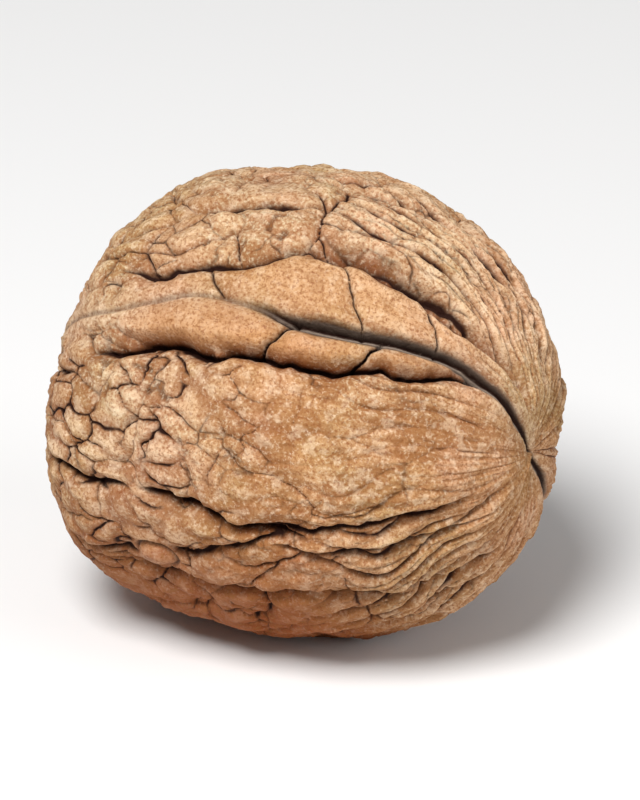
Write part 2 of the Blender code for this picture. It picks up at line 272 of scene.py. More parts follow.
def line_longitude(line):
    """The longitude of a line at each point's latitude, its corners rounded by averaging nearby readings."""
    latitudes, longitudes = zip(*line)
    readings = (np.interp(latitude + step, latitudes, longitudes) for step in LINE_ROUNDING)
    return sum(readings) / len(LINE_ROUNDING)


def across(line):
    """The distance of each point from a line, measured round the nut and positive to higher longitudes."""
    return np.radians(turn_from(line_longitude(line))) * SHELL_THICKNESS / 2 * level


def notch(offset, width):
    """A cut with straight sides that ease off towards its edges: 1 at the middle, 0 from the width on."""
    return np.clip(1 - np.abs(offset) / width, 0, 1) ** NOTCH_CURVE


def crack(offset, width):
    """A cut with steep sides and a flat floor, this wide from its middle to halfway up its side."""
    return 1 / (1 + (offset / width) ** CRACK_STEEPNESS)


seam = np.zeros(len(skin))
seam_dark = np.zeros(len(skin))
seam_lips = np.zeros(len(skin))
seam_fibres = np.zeros(len(skin))
opened = rising(SEAM_CLOSED_SHARE, ramp(latitude, SEAM_OPENS_FROM, SEAM_OPEN_AT))
crack_width = SEAM_CRACK_WIDTH * rising(SEAM_CLOSED_WIDTH, opened) * rising(SEAM_WIDTH_AT_ENDS, level)
for line in (SEAM_ABOVE, SEAM_BELOW):
    near = np.abs(turn_from(line_longitude(line))) < SEAM_SIDE
    offset = across(line) + SEAM_WANDER * waves(skin, SEAM_WANDER_LENGTH, seed=4)
    gap = crack(offset, crack_width)
    side = SEAM_RIDGE_HEIGHT * bell(offset, SEAM_RIDGE_WIDTH * end_fading)
    side -= SEAM_VALLEY_DEPTH * bell(offset, SEAM_VALLEY_WIDTH)
    side -= SEAM_SLOPES_DEPTH * opened * notch(offset, SEAM_SLOPES_WIDTH * (1 + opened) / 2)
    side -= SEAM_CRACK_DEPTH * opened * gap
    fibres = gap * opened * (0.5 + 0.5 * np.cos(2 * math.pi * offset / SEAM_FIBRE_PITCH)) ** 2
    side += SEAM_FIBRES * fibres
    seam += np.where(near, side, 0) * end_fading
    # How dark the crack is painted: partly its own colour and partly the shade in the gap.
    seam_dark = np.maximum(seam_dark, np.where(near, gap * rising(SEAM_CLOSED_DARKNESS, opened), 0))
    seam_fibres = np.maximum(seam_fibres, np.where(near, fibres, 0))
    seam_lips = np.maximum(seam_lips, np.where(near, bell(offset, SEAM_RIDGE_WIDTH), 0))

# Long furrows run from end to end. The deepest lie under and over the seam. Each has a lower and an upper
# slope of its own width, and a narrow crack along its floor. Its numbers are the depth, the width of the
# lower and of the upper slope, and its line.

UNDER_LIP = ((-34, 27), (-19, 32), (0, 34), (19, 35), (33, 39), (42, 42), (50, 46), (66, 58))
OVER_LIP = ((-30, 49), (-21, 52), (-10, 54), (-3, 58), (7, 64), (18, 71), (32, 70), (43, 69), (68, 79))
FRONT_FURROWS = (
    (1.9 * MM, 1.0 * MM, 1.6 * MM, UNDER_LIP),
    (2.6 * MM, 1.5 * MM, 2.7 * MM, ((9, 66), (18, 71), (32, 70), (43, 69), (54, 72), (65, 78), (80, 90))),
    (0.9 * MM, 1.2 * MM, 1.9 * MM, ((-32, 49), (-21, 52), (-10, 54), (-3, 58), (7, 64), (17, 71))),
    (0.9 * MM, 1.2 * MM, 1.4 * MM, ((-48, 58), (-34, 63), (-24, 70), (-16, 74), (-5, 78), (12, 84))),
    (1.1 * MM, 1.2 * MM, 1.4 * MM, ((-48, -11), (-34, -8), (-18, -6))),
    (1.7 * MM, 1.4 * MM, 1.3 * MM, ((-16, -4), (-2, -7), (11, -10), (26, -12))),
    (1.1 * MM, 1.6 * MM, 1.3 * MM, ((13, -9), (33, -10), (49, -9), (66, -6))),
    (0.8 * MM, 1.2 * MM, 1.2 * MM, ((16, -15), (35, -18), (46, -21), (58, -21), (78, -14))),
    (0.9 * MM, 1.2 * MM, 1.3 * MM, ((-38, -32), (-18, -26), (-5, -22), (9, -16), (26, -9))),
    (1.1 * MM, 1.3 * MM, 1.3 * MM, ((-28, -31), (-9, -32), (18, -33), (44, -44), (68, -56))),
    (1.0 * MM, 1.4 * MM, 1.4 * MM, ((0, 95), (22, 105), (42, 115), (54, 116), (72, 130))),
    (1.0 * MM, 1.3 * MM, 1.3 * MM, ((-62, 70), (-50, 78), (-38, 90), (-20, 97))),
    (0.8 * MM, 1.2 * MM, 1.2 * MM, ((-60, 14), (-48, 20), (-36, 22))),
)
FURROW_RUN_OUT = 3
FURROW_FADE = 9
FURROW_WANDER = 0.25 * MM
FURROW_WANDER_LENGTH = 6 * MM
FURROW_SHIVER = 0.07 * MM
FURROW_SHIVER_LENGTH = 1.6 * MM
FURROW_DARKEST_DEPTH = 1.3 * MM
FLOOR_CRACK_SHARE = 0.35
FLOOR_CRACK_WIDTH = 0.20 * MM
FLOOR_CRACK_DARKNESS = 0.85
FURROW_SLOPE_SHADE = 0.4
BACK_FROM = 118
BACK_TO = 305
BACK_FURROWS = 14
BACK_PLACES = (0.2, 0.8)
BACK_STARTS = ((-76, 0), (-76, -30))
BACK_ENDS = ((30, 78), (0, 78))
BACK_POINTS = 6
BACK_DEPTH = 1.35 * MM
BACK_WIDTH = 1.4 * MM
BACK_SPREAD = (0.7, 1.3)
BACK_SWAY = 3.5
BACK_SEED = 11


def back_furrows():
    """Furrows like those of the front, every second one longer towards the blunt end."""
    rng = np.random.default_rng(BACK_SEED)
    for index in range(BACK_FURROWS):
        middle = BACK_FROM + (BACK_TO - BACK_FROM) * (index + rng.uniform(*BACK_PLACES)) / BACK_FURROWS
        start = rng.uniform(*BACK_STARTS[index % 2])
        end = rng.uniform(*BACK_ENDS[index % 2])
        latitudes = np.linspace(start, end, BACK_POINTS)
        line = tuple((place, middle + rng.normal(0, BACK_SWAY)) for place in latitudes)
        depth, below, above = rng.uniform(*BACK_SPREAD, 3) * (BACK_DEPTH, BACK_WIDTH, BACK_WIDTH)
        yield depth, below, above, line


shiver = FURROW_SHIVER * waves(skin, FURROW_SHIVER_LENGTH, seed=5)
wander = FURROW_WANDER * waves(skin, FURROW_WANDER_LENGTH, seed=3) + shiver
furrows = np.zeros(len(skin))
furrow_dark = np.zeros(len(skin))
for depth, width_below, width_above, line in [*FRONT_FURROWS, *back_furrows()]:
    start, end = line[0][0], line[-1][0]
    strength = depth * end_fading * ramp(latitude, start - FURROW_RUN_OUT, start + FURROW_FADE)
    strength = strength * ramp(latitude, end + FURROW_RUN_OUT, end - FURROW_FADE)
    offset = across(line) / end_fading + wander
    slopes = notch(offset, np.where(offset > 0, width_above, width_below))
    floor_crack = crack(offset, FLOOR_CRACK_WIDTH)
    furrows = np.maximum(furrows, strength * (slopes + FLOOR_CRACK_SHARE * floor_crack))
    # How dark the furrow is painted: its floor crack partly by its own colour and partly by shade, its slopes
    # by painted shade.
    darkest = strength / max(depth, FURROW_DARKEST_DEPTH)
    shade = FLOOR_CRACK_DARKNESS * floor_crack + FURROW_SLOPE_SHADE * slopes ** 2
    furrow_dark = np.maximum(furrow_dark, darkest * shade)

# Both lips of the seam are rows of smooth pads, parted by short cracks, one row between the seam and the
# furrow under it and one up to the furrow over it. A row is given by its swell and rounding, how strong its
# cracks are and how they slant, its two edges, and where it and its cracks lie.

LIPS = (
    (1.0 * MM, 1.9 * MM, 1.0, 0.3, UNDER_LIP, SEAM_ABOVE, (-26, 64), (12.5, 33.5)),
    (0.8 * MM, 3.2 * MM, 0.3, -0.4, SEAM_ABOVE, OVER_LIP, (-24, 62), (-6, 25, 45)),
)
LIP_FADE = 9
LIP_EDGE = 0.3 * MM
LIP_CRACK_DEPTH = 0.5 * MM
LIP_CRACK_WIDTH = 0.8 * MM
LIP_FINE_CRACK_DEPTH = 0.6 * MM
LIP_FINE_CRACK_WIDTH = 0.14 * MM
LIP_PINCH = 0.7 * MM
LIP_PINCH_LENGTH = 2.2 * MM
LEAST_LIP_CUT = 0.3
LEAST_LIP_DARKNESS = 0.45
LEAST_LIP_FINISH = 0.4
LIP_FINISH_EDGE = (0.1 * MM, 0.8 * MM)

along_nut = SHELL_LENGTH / 2 * np.radians(1)
lips = np.zeros(len(skin))
lip_relief = np.zeros(len(skin))
lip_dark = np.zeros(len(skin))
lip_inside = np.zeros(len(skin))
for swell, rounding, share, slant, under, over, (start, end), places in LIPS:
    row = ramp(across(under), -LIP_EDGE, LIP_EDGE) * ramp(across(over), LIP_EDGE, -LIP_EDGE)
    row *= ramp(latitude, start, start + LIP_FADE) * ramp(latitude, end, end - LIP_FADE)
    low, high = across(under), -across(over)
    from_cracks = [np.abs((latitude - place) * along_nut - slant * (low - high) - shiver) for place in places]
    pinch = LIP_PINCH * share * sum(bell(distance, LIP_PINCH_LENGTH) for distance in from_cracks)
    edges = [np.maximum(distance, LIP_EDGE / 10) for distance in [low - pinch, high - pinch, *from_cracks]]
    inside = sum(edge ** -2.0 for edge in edges) ** -0.5
    fine = sum(crack(distance, LIP_FINE_CRACK_WIDTH) for distance in from_cracks)
    slopes = sum(notch(distance, LIP_CRACK_WIDTH) for distance in from_cracks)
    cuts = share * LIP_CRACK_DEPTH * slopes + LIP_FINE_CRACK_DEPTH * fine
    lip_relief += row * swell * ramp(inside, 0, rounding)
    lip_relief -= row * rising(LEAST_LIP_CUT, share) * cuts
    lips += row
    lip_dark += rising(LEAST_LIP_DARKNESS, share) * row * fine
    lip_inside += rising(LEAST_LIP_FINISH, share) * row * ramp(inside, *LIP_FINISH_EDGE)
lips = np.clip(lips, 0, 1)

# A net of cracks parts the rest of the surface into pads a few millimetres across. Each pad swells from
# its edge and stands a little higher or lower than those beside it.

NET_ROWS = 7
NET_COLUMNS = 25
NET_JITTER = 0.42
NET_DEPTH = 0.3 * MM
NET_WIDTH = 0.8 * MM
NET_FINE_DEPTH = 0.4 * MM
NET_FINE_WIDTH = 0.09 * MM
NET_FINE_DEPTHS = (0.55, 0.45)
NET_FINE_WIDTHS = (0.3, 0.8)
NET_WANDER = 0.7 * MM
NET_WANDER_LENGTH = 7 * MM
NET_SHIVER = 0.09 * MM
NET_SHIVER_LENGTH = 1.8 * MM
NET_NEIGHBOURS = 6
NET_WEAKEST = 0.12
NET_STRONGEST = 0.6
NET_FADING_LENGTH = 9 * MM
NET_FADING_EDGES = (-1.3, 0.3)
NET_FAINTEST = 0.1
NET_SEED = 5
PAD_SWELL = 0.35 * MM
PAD_ROUNDING = 3.0 * MM
PAD_STEP = 0.15 * MM
BATCH = 20000


def pad_middles(rng):
    """Middles of the pads, on a cylinder as long and as thick as the nut."""
    middles = []
    for row in range(NET_ROWS):
        for column in range(NET_COLUMNS):
            along = (row + 0.5 + rng.uniform(-NET_JITTER, NET_JITTER)) / NET_ROWS - 0.5
            turn = (column + 0.5 * (row % 2) + rng.uniform(-NET_JITTER, NET_JITTER)) / NET_COLUMNS
            way = (math.cos(2 * math.pi * turn), math.sin(2 * math.pi * turn))
            middles.append((SHELL_LENGTH * along, SHELL_THICKNESS / 2 * way[0], SHELL_THICKNESS / 2 * way[1]))
    return np.array(middles)


def pad_forms(places, fading, middles, strength, steps):
    """Height and darkness at these places, from how near each lies to its pad's borders."""
    squares = (places ** 2).sum(axis=1)[:, None] - 2 * places @ middles.T + (middles ** 2).sum(axis=1)[None]
    near = np.argpartition(squares, NET_NEIGHBOURS, axis=1)[:, :NET_NEIGHBOURS]
    order = np.argsort(np.take_along_axis(squares, near, axis=1), axis=1)
    own, *others = np.take_along_axis(near, order, axis=1).T
    rows = np.arange(len(places))
    slopes, fine = np.zeros((2, len(places)))
    inside = np.full(len(places), PAD_ROUNDING)
    step = steps[own]
    for other in others:
        gap = np.linalg.norm(middles[own] - middles[other], axis=1)
        edge = (squares[rows, other] - squares[rows, own]) / (2 * gap)
        slopes = np.maximum(slopes, strength[own, other] * fading * notch(edge, NET_WIDTH))
        depth = (NET_FINE_DEPTHS[0] + NET_FINE_DEPTHS[1] * strength[own, other]) * fading
        width = NET_FINE_WIDTH * (NET_FINE_WIDTHS[0] + NET_FINE_WIDTHS[1] * depth)
        fine = np.maximum(fine, depth * crack(edge, width))
        inside = np.minimum(inside, edge + PAD_ROUNDING * (1 - strength[own, other]))
        step += (steps[other] - steps[own]) / 2 * ramp(edge, NET_WIDTH / 2, 0)
    height = step + PAD_SWELL * ramp(inside, 0, PAD_ROUNDING) - NET_DEPTH * slopes - NET_FINE_DEPTH * fine
    return np.stack([height, fine, slopes, steps[own] / PAD_STEP])


net_rng = np.random.default_rng(NET_SEED)
middles = pad_middles(net_rng)
strength = np.triu(net_rng.uniform(0, 1, (len(middles), len(middles))), 1)
strength = ramp(strength + strength.T, NET_WEAKEST, NET_STRONGEST)
steps = PAD_STEP * net_rng.uniform(-1, 1, len(middles))
places = np.stack([
    SHELL_LENGTH * upright, SHELL_THICKNESS * np.cos(turns), SHELL_THICKNESS * np.sin(turns),
], axis=1) / 2
for axis in range(3):
    places[:, axis] += NET_WANDER * waves(skin, NET_WANDER_LENGTH, seed=40 + axis)
    places[:, axis] += NET_SHIVER * waves(skin, NET_SHIVER_LENGTH, seed=50 + axis)
parts = np.array_split(np.arange(len(places)), 1 + len(places) // BATCH)
net_fading = rising(NET_FAINTEST, ramp(waves(skin, NET_FADING_LENGTH, seed=45), *NET_FADING_EDGES))
forms = [pad_forms(places[part], net_fading[part], middles, strength, steps) for part in parts]
pads, pads_dark, pads_crease_shade, pad_tint = np.concatenate(forms, axis=1)

# Within the pads the surface is crazed into small round cells, plainest on the rough front cheek near the
# blunt end. They are shallow, with hair cracks between them.

CELL_LENGTH = 3.1 * MM
CELL_WIDTH = 2.7 * MM
CELL_JITTER = 0.45
CELL_SEED = 21
CELL_DRIFT = 0.12
CELL_DRIFT_LENGTH = 5 * MM
CELL_SHIVERS = 3
CELL_SWELL = 0.24 * MM
CELL_ROUNDING = 0.45
CELL_CRACK_DEPTH = 0.22 * MM
CELL_CRACK_WIDTH = 0.10 * MM
CELL_CRACK_PATCHES = 5 * MM
CELL_CRACK_PATCH_EDGES = (-1, 0.4)
CELL_SPREAD = (-2, -1, 0, 1, 2)
CELL_SPARE_ROWS = 4
CELLS_EVERYWHERE = 0.3
CELLS_IN_PATCHES = 0.3
CELL_PATCHES = 9 * MM
CELL_PATCH_EDGES = (-0.4, 0.8)
CELL_END_LEVELS = (0.25, 0.7)
ROUGH_CHEEK_LATITUDES = (18, -15)
ROUGH_CHEEK_LONGITUDE = 0
ROUGH_CHEEK_WIDTH = 62
TINY = 1e-6


def cells(along, around, rows, columns, seed):
    """Distance to the border of each point's cell on an unrolled grid of jittered middles, in grid steps."""
    rng = np.random.default_rng(seed)
    all_rows = rows + CELL_SPARE_ROWS
    shift = rng.uniform(-CELL_JITTER, CELL_JITTER, (2, all_rows, columns))
    tints = rng.uniform(0, 1, (all_rows, columns))
    row, column = np.floor(along), np.floor(around)
    options = []
    for down, right in itertools.product(CELL_SPREAD, CELL_SPREAD):
        r, c = (row + down).astype(int), (column + right).astype(int)
        key = (r % all_rows, c % columns)
        options.append((r + 0.5 + shift[0][key] - along, c + 0.5 + shift[1][key] - around, tints[key]))
    squares = np.stack([x * x + y * y for x, y, _ in options])
    own = np.argmin(squares, axis=0)
    pick = np.arange(len(own))
    own_x, own_y, own_tint = (np.stack(values)[own, pick] for values in zip(*options))
    least = squares[own, pick]
    border = np.full(len(own), 1.0)
    for (x, y, _), square in zip(options, squares):
        gap = np.hypot(x - own_x, y - own_y)
        distance = (square - least) / (2 * np.maximum(gap, TINY))
        border = np.where(gap > TINY, np.minimum(border, distance), border)
    return border, own_tint


rows, columns = round(SHELL_LENGTH / CELL_LENGTH), round(math.pi * SHELL_THICKNESS / CELL_WIDTH)
cell_along = (SHELL_LENGTH / 2 * upright + CELL_SHIVERS * shiver) / CELL_LENGTH + rows / 2
cell_around = (longitude % 360) / 360 * columns + CELL_DRIFT * waves(skin, CELL_DRIFT_LENGTH, seed=22)
border, cell_tint = cells(cell_along, cell_around, rows, columns, CELL_SEED)
rough = ramp(latitude, *ROUGH_CHEEK_LATITUDES) * bell(turn_from(ROUGH_CHEEK_LONGITUDE), ROUGH_CHEEK_WIDTH)
cell_patches = CELLS_IN_PATCHES * ramp(waves(skin, CELL_PATCHES, seed=23), *CELL_PATCH_EDGES)
cell_share = (rising(CELLS_EVERYWHERE, rough) + cell_patches) * ramp(level, *CELL_END_LEVELS)
cell_crack = crack(border * CELL_WIDTH, CELL_CRACK_WIDTH)
cell_crack = cell_crack * ramp(waves(skin, CELL_CRACK_PATCHES, seed=24), *CELL_CRACK_PATCH_EDGES)
cell_relief = cell_share * (CELL_SWELL * ramp(border, 0, CELL_ROUNDING) - CELL_CRACK_DEPTH * cell_crack)
cell_dark = cell_share * cell_crack

# A small knob stands in a crease low on the front cheek, near the blunt end. A knob is given by its place,
# half its length and width, and its height. Its rim lies where the reach from its middle is a little over 1.

KNOBS = ((-14, -25, 1.8 * MM, 1.2 * MM, 0.8 * MM),)
KNOB_RIM = 1.1
KNOB_RIM_WIDTH = 0.12
KNOB_RIM_DEPTH = 0.5
KNOB_TOP = 0.3
KNOB_EDGE = (1.5, 1.2)
KNOB_DARK_EDGE = (1.6, 1.2)

knobs = np.zeros(len(skin))
knob_relief = np.zeros(len(skin))
knob_dark = np.zeros(len(skin))
for place, turn, half_length, half_width, height in KNOBS:
    along = (latitude - place) * along_nut / half_length
    around = np.radians(turn_from(turn)) * SHELL_THICKNESS / 2 * level / half_width
    reach = np.hypot(along, around)
    rim = crack(reach - KNOB_RIM, KNOB_RIM_WIDTH)
    knobs = np.maximum(knobs, ramp(reach, *KNOB_EDGE))
    knob_relief += height * (ramp(reach, KNOB_RIM, KNOB_TOP) - KNOB_RIM_DEPTH * rim)
    knob_dark = np.maximum(knob_dark, rim * ramp(reach, *KNOB_DARK_EDGE))

# Ridges run together at both ends, longer at the end where the seam gapes. The middle of the front cheek
# is smoother, with fine streaks along the nut.

RIDGES = 44
RIDGE_DEPTH = 0.8 * MM
RIDGE_SHARPNESS = 3
RIDGE_SHADE_SHARPNESS = 2
RIDGE_WANDER = 0.4
RIDGE_WANDER_LENGTH = 12 * MM
RIDGE_LATITUDES = (12, 40)
RIDGE_FADE = (88, 40)
FINE_RIDGE_DEPTH = 0.25 * MM
FINE_RIDGES_EACH = 2.3
FINE_RIDGE_WANDER = 0.25
FINE_RIDGE_WANDER_LENGTH = 4 * MM
FINE_RIDGE_SHARPNESS = 2
FINE_RIDGE_SHADE_SHARPNESS = 3
FINE_RIDGE_GROOVE_SHADE = 0.6
UPPER_RIDGE_LATITUDES = (0, 24)
UPPER_RIDGES_LONGITUDE = 92
UPPER_RIDGES_WIDTH = 32
BLUNT_END_RIDGES = 0.7
BLUNT_END_RIDGE_LATITUDES = (-48, -66)
SMOOTHED_BY_RIDGES = 0.8
SMOOTH_CHEEK_LONGITUDE = 18
SMOOTH_CHEEK_WIDTH = 32
SMOOTH_CHEEK_SHARE = 0.75
STREAK_WIDTH = 0.42 * MM
STREAK_STRETCH = 9
STREAK_DEPTH = 0.15 * MM
STREAK_LATITUDES = (-5, 40)
STREAKS_EVERYWHERE = 0.35
FINER_STREAKS = 0.5
LEAST_LEVEL = 0.15
LATTICE = 64


def grain(points, size, seed):
    """Smooth random values from -1 to 1 that change over this size, from a lattice of random numbers."""
    lattice = np.random.default_rng(seed).uniform(-1, 1, (LATTICE, LATTICE, LATTICE))
    corner = np.floor(points / size).astype(int)
    share = points / size - corner
    share = share * share * (3 - 2 * share)
    total = np.zeros(len(points))
    for ends in itertools.product((0, 1), repeat=3):
        weight = np.prod(np.where(ends, share, 1 - share), axis=1)
        total += weight * lattice[tuple(((corner + ends) % LATTICE).T)]
    return total


phase = longitude / 360 * RIDGES + RIDGE_WANDER * waves(skin, RIDGE_WANDER_LENGTH, seed=8)
groove = (2 * np.abs(phase % 1 - 0.5)) ** RIDGE_SHARPNESS
smooth_cheek = SMOOTH_CHEEK_SHARE * bell(turn_from(SMOOTH_CHEEK_LONGITUDE), SMOOTH_CHEEK_WIDTH)
from_top = turn_from(UPPER_RIDGES_LONGITUDE)
upper_ridges = ramp(latitude, *UPPER_RIDGE_LATITUDES) * bell(from_top, UPPER_RIDGES_WIDTH)
ridge_share = np.maximum(ramp(latitude, *RIDGE_LATITUDES), upper_ridges) * (1 - smooth_cheek)
ridge_share += BLUNT_END_RIDGES * ramp(latitude, *BLUNT_END_RIDGE_LATITUDES)
ridge_share *= ramp(np.abs(latitude), *RIDGE_FADE)
ridge_cover = np.clip(ridge_share, 0, 1)
fine_wander = FINE_RIDGE_WANDER * waves(skin, FINE_RIDGE_WANDER_LENGTH, seed=9)
fine_groove = (2 * np.abs((FINE_RIDGES_EACH * phase + fine_wander) % 1 - 0.5)) ** FINE_RIDGE_SHARPNESS
ridges = ridge_share * (RIDGE_DEPTH * groove + FINE_RIDGE_DEPTH * fine_groove)
# The grooves between the ridges are painted dark, as shade.
fine_groove_shade = FINE_RIDGE_GROOVE_SHADE * fine_groove ** FINE_RIDGE_SHADE_SHARPNESS
ridge_groove_shade = ridge_share * np.maximum(groove ** RIDGE_SHADE_SHARPNESS, fine_groove_shade)
unridged = 1 - SMOOTHED_BY_RIDGES * ridge_cover

streak_places = skin * (1 / STREAK_STRETCH, 1, 1)
streak_places[:, 1:] /= np.maximum(level, LEAST_LEVEL)[:, None]
streaks = grain(streak_places, STREAK_WIDTH, seed=61)
streaks += FINER_STREAKS * grain(streak_places, STREAK_WIDTH / 2, seed=62)
streak_share = rising(STREAKS_EVERYWHERE, ramp(latitude, *STREAK_LATITUDES))

# The skin of the shell is dry and gritty, with small pits, most of them over the top of the nut, where dust
# lies too.

GRIT = ((1.5 * MM, 0.09 * MM), (0.7 * MM, 0.07 * MM), (0.35 * MM, 0.055 * MM))
GRIT_AT_ENDS = 0.5
PIT_SIZE = 0.75 * MM
PIT_DEPTH = 0.30 * MM
PIT_EDGES = (0.42, 0.75)
PITS_EVERYWHERE = 0.25
DUST_PATCHES = 10 * MM
DUST_LONGITUDE = 95
DUST_WIDTH = 55
DUST_ON_TOP = 1.2
DUST_EDGES = (0.2, 1.3)
DUST_LATITUDES = (55, 20)
DUST_HEIGHTS = (-0.2, 0.4)

grit = sum(height * grain(skin, size, seed=70 + number) for number, (size, height) in enumerate(GRIT))
on_top = waves(skin, DUST_PATCHES, seed=81) + DUST_ON_TOP * bell(turn_from(DUST_LONGITUDE), DUST_WIDTH)
dusty = ramp(on_top, *DUST_EDGES) * ramp(latitude, *DUST_LATITUDES) * ramp(ways_out[:, 2], *DUST_HEIGHTS)
pits = ramp(grain(skin, PIT_SIZE, seed=82), *PIT_EDGES) * rising(PITS_EVERYWHERE, dusty)

# The shell: the body with all this relief on it, tipped to the slope that it lies at and flattened where it
# rests. The ball is made much finer than the shell needs and then thinned out, most where it is smooth.

SHELL_TRIANGLES = 190000
SMOOTH_CHEEK_LATITUDES = (-14, 16)
NET_LEFT_IN_RIDGES = 0.2
NET_LOST_ON_CHEEK = 0.85
NET_LOST_WHERE_ROUGH = 0.5
GRIT_LOST_ON_LIPS = 0.4

plain = (1 - lips) * (1 - np.clip(seam_lips, 0, 1)) * (1 - knobs)
net_lost_in_ridges = (1 - NET_LEFT_IN_RIDGES) * ridge_cover
cheek_cover = smooth_cheek * ramp(latitude, *SMOOTH_CHEEK_LATITUDES)
net_share = plain * end_fading * (1 - NET_LOST_ON_CHEEK * cheek_cover)
net_share *= (1 - NET_LOST_WHERE_ROUGH * rough) * (1 - net_lost_in_ridges)
rough_skin = 1 - GRIT_LOST_ON_LIPS * lips
relief = seam - furrows * (1 - knobs) + lip_relief + knob_relief
relief += net_share * pads - plain * ridges
relief += plain * unridged * end_fading * cell_relief
relief += end_fading * STREAK_DEPTH * streaks * streak_share * rough_skin
relief += rising(GRIT_AT_ENDS, end_fading) * grit * rough_skin - PIT_DEPTH * pits * plain * unridged
skin += normals * (body + relief)[:, None]

tip = np.array([
    [math.cos(SLOPE), 0, -math.sin(SLOPE)],
    [0, 1, 0],
    [math.sin(SLOPE), 0, math.cos(SLOPE)],
])
skin = skin @ tip.T
low, high = skin.min(axis=0), skin.max(axis=0)
skin[:, :2] += [nut_middle.x - (low[0] + high[0]) / 2, nut_middle.y - (low[1] + high[1]) / 2]
skin[:, 2] += nut_high.z - high[2]
skin[:, 2] = np.maximum(skin[:, 2], nut_low.z)
ball_mesh.vertices.foreach_set("co", skin.ravel())

# What the shell's finish follows is kept on its points before they are thinned out: how dark a place is with
# cracks, partly their own colour and partly painted shade, how creased, for painted shade in the creases,
# how far it faces down, for painted shade on the underside, how pale, how high, for a painted highlight on
# what stands out, and what grows or lies there.

SEAM_DARKNESS = 1.0
FURROW_DARKNESS = 0.95
LIP_DARKNESS = 0.9
KNOB_DARKNESS = 0.45
NET_DARKNESS = 0.8
NET_DARKNESS_LOST_ON_CHEEK = 0.8
NET_DARKNESS_LOST_IN_RIDGES = 0.6
CELL_DARKNESS = 0.65
RIDGE_GROOVE_SHADE = 0.95
FULL_CREASE_SHADE_DEPTH = 1.4 * MM
NET_CREASE_SHADE = 1.1
CELL_CREASE_SHADE = 0.7
CELL_CREASE_SHADE_WIDTH = 0.3
RIDGE_CREASE_SHADE = 1.2
UNDERSIDE_SHADE_HEIGHTS = (0.12, -0.8)
UNDERSIDE_SHADE_LOST_IN_RIDGES = 0.7
UNDERSIDE_SHADE_RIDGE_LATITUDES = (15, 45)
PALE_WHERE_ROUGH = 0.9
PALE_ON_TOP = 0.8
PALE_LONGITUDE = 100
PALE_WIDTH = 38
CREST_LIGHT_ON_RIDGES = 0.7
RELIEF_RANGE = 2.4 * MM
LIP_FINISH_ON_KNOBS = 0.7
TINT_OF_PADS = 0.25
TINT_OF_CELLS = 0.25
TINT_OF_CHEEK = 0.5


def keep_value(name, values):
    """Keeps a value from 0 to 1 for every point of the ball, for the material to read."""
    kept_values = np.clip(values, 0, 1).astype(np.float32)
    ball_mesh.attributes.new(name, "FLOAT", "POINT").data.foreach_set("value", kept_values)


pads_share = plain * (1 - NET_LOST_WHERE_ROUGH * rough) * (1 - NET_DARKNESS_LOST_ON_CHEEK * cheek_cover)
pads_share *= 1 - NET_DARKNESS_LOST_IN_RIDGES * net_lost_in_ridges
# Dark in the cracks, partly their own colour and partly painted shade, with painted shade on the slopes of
# the furrows and in the grooves between the ridges.
keep_value("darkness", np.maximum.reduce([
    SEAM_DARKNESS * seam_dark,
    FURROW_DARKNESS * furrow_dark * (1 - knobs),
    LIP_DARKNESS * lip_dark,
    KNOB_DARKNESS * knob_dark,
    NET_DARKNESS * pads_share * pads_dark,
    CELL_DARKNESS * plain * unridged * cell_dark,
    RIDGE_GROOVE_SHADE * plain * ridge_groove_shade,
]))
# Painted shade in the creases: in the furrows, on the slopes of the net's cracks, along the borders of the
# cells and in the grooves between the ridges.
keep_value("crease_shade", np.maximum.reduce([
    furrows / FULL_CREASE_SHADE_DEPTH,
    NET_CREASE_SHADE * pads_share * pads_crease_shade,
    CELL_CREASE_SHADE * cell_share * plain * unridged * ramp(border, CELL_CREASE_SHADE_WIDTH, 0),
    RIDGE_CREASE_SHADE * plain * ridge_share * groove,
]))
# Painted reddish shade on the underside, deeper as the surface faces down and weaker towards the ridged end
# where the seam gapes.
underside_shade_lost_on_ridges = UNDERSIDE_SHADE_LOST_IN_RIDGES * ramp(latitude, *UNDERSIDE_SHADE_RIDGE_LATITUDES)
keep_value("under", ramp(ways_out[:, 2], *UNDERSIDE_SHADE_HEIGHTS) * (1 - underside_shade_lost_on_ridges))
pale_top = PALE_ON_TOP * bell(turn_from(PALE_LONGITUDE), PALE_WIDTH)
# Paler on the rough cheek and over the top, and painted light on the crests of the ridges.
keep_value("pale", PALE_WHERE_ROUGH * rough + pale_top + CREST_LIGHT_ON_RIDGES * ridge_cover * (1 - groove))
# How high a place stands: the finish paints a cream highlight on what stands out and leaves more of the
# mottled brown in what lies low.
keep_value("height", 0.5 + relief / RELIEF_RANGE)
keep_value("lip", lip_inside + LIP_FINISH_ON_KNOBS * knobs)
keep_value("seam", seam_lips)
keep_value("fibres", seam_fibres)
keep_value("dusty", dusty * plain)
keep_value("pits", pits * plain * unridged)
tint = TINT_OF_PADS * pad_tint + TINT_OF_CELLS * (2 * cell_tint - 1) - TINT_OF_CHEEK * smooth_cheek
keep_value("tint", 0.5 + tint)
keep_value("streaks", 0.5 + 0.5 * streaks * streak_share)

dense_shell = bpy.data.objects.new("dense shell", ball_mesh)
bpy.context.scene.collection.objects.link(dense_shell)
thin_out = dense_shell.modifiers.new("Thin out", "DECIMATE")
thin_out.ratio = SHELL_TRIANGLES / (2 * MERIDIANS * (PARALLELS - 1))
graph = bpy.context.evaluated_depsgraph_get()
shell_mesh = bpy.data.meshes.new_from_object(dense_shell.evaluated_get(graph))
bpy.data.objects.remove(dense_shell)
shell_mesh.name = "walnut shell"
shell_mesh.shade_smooth()

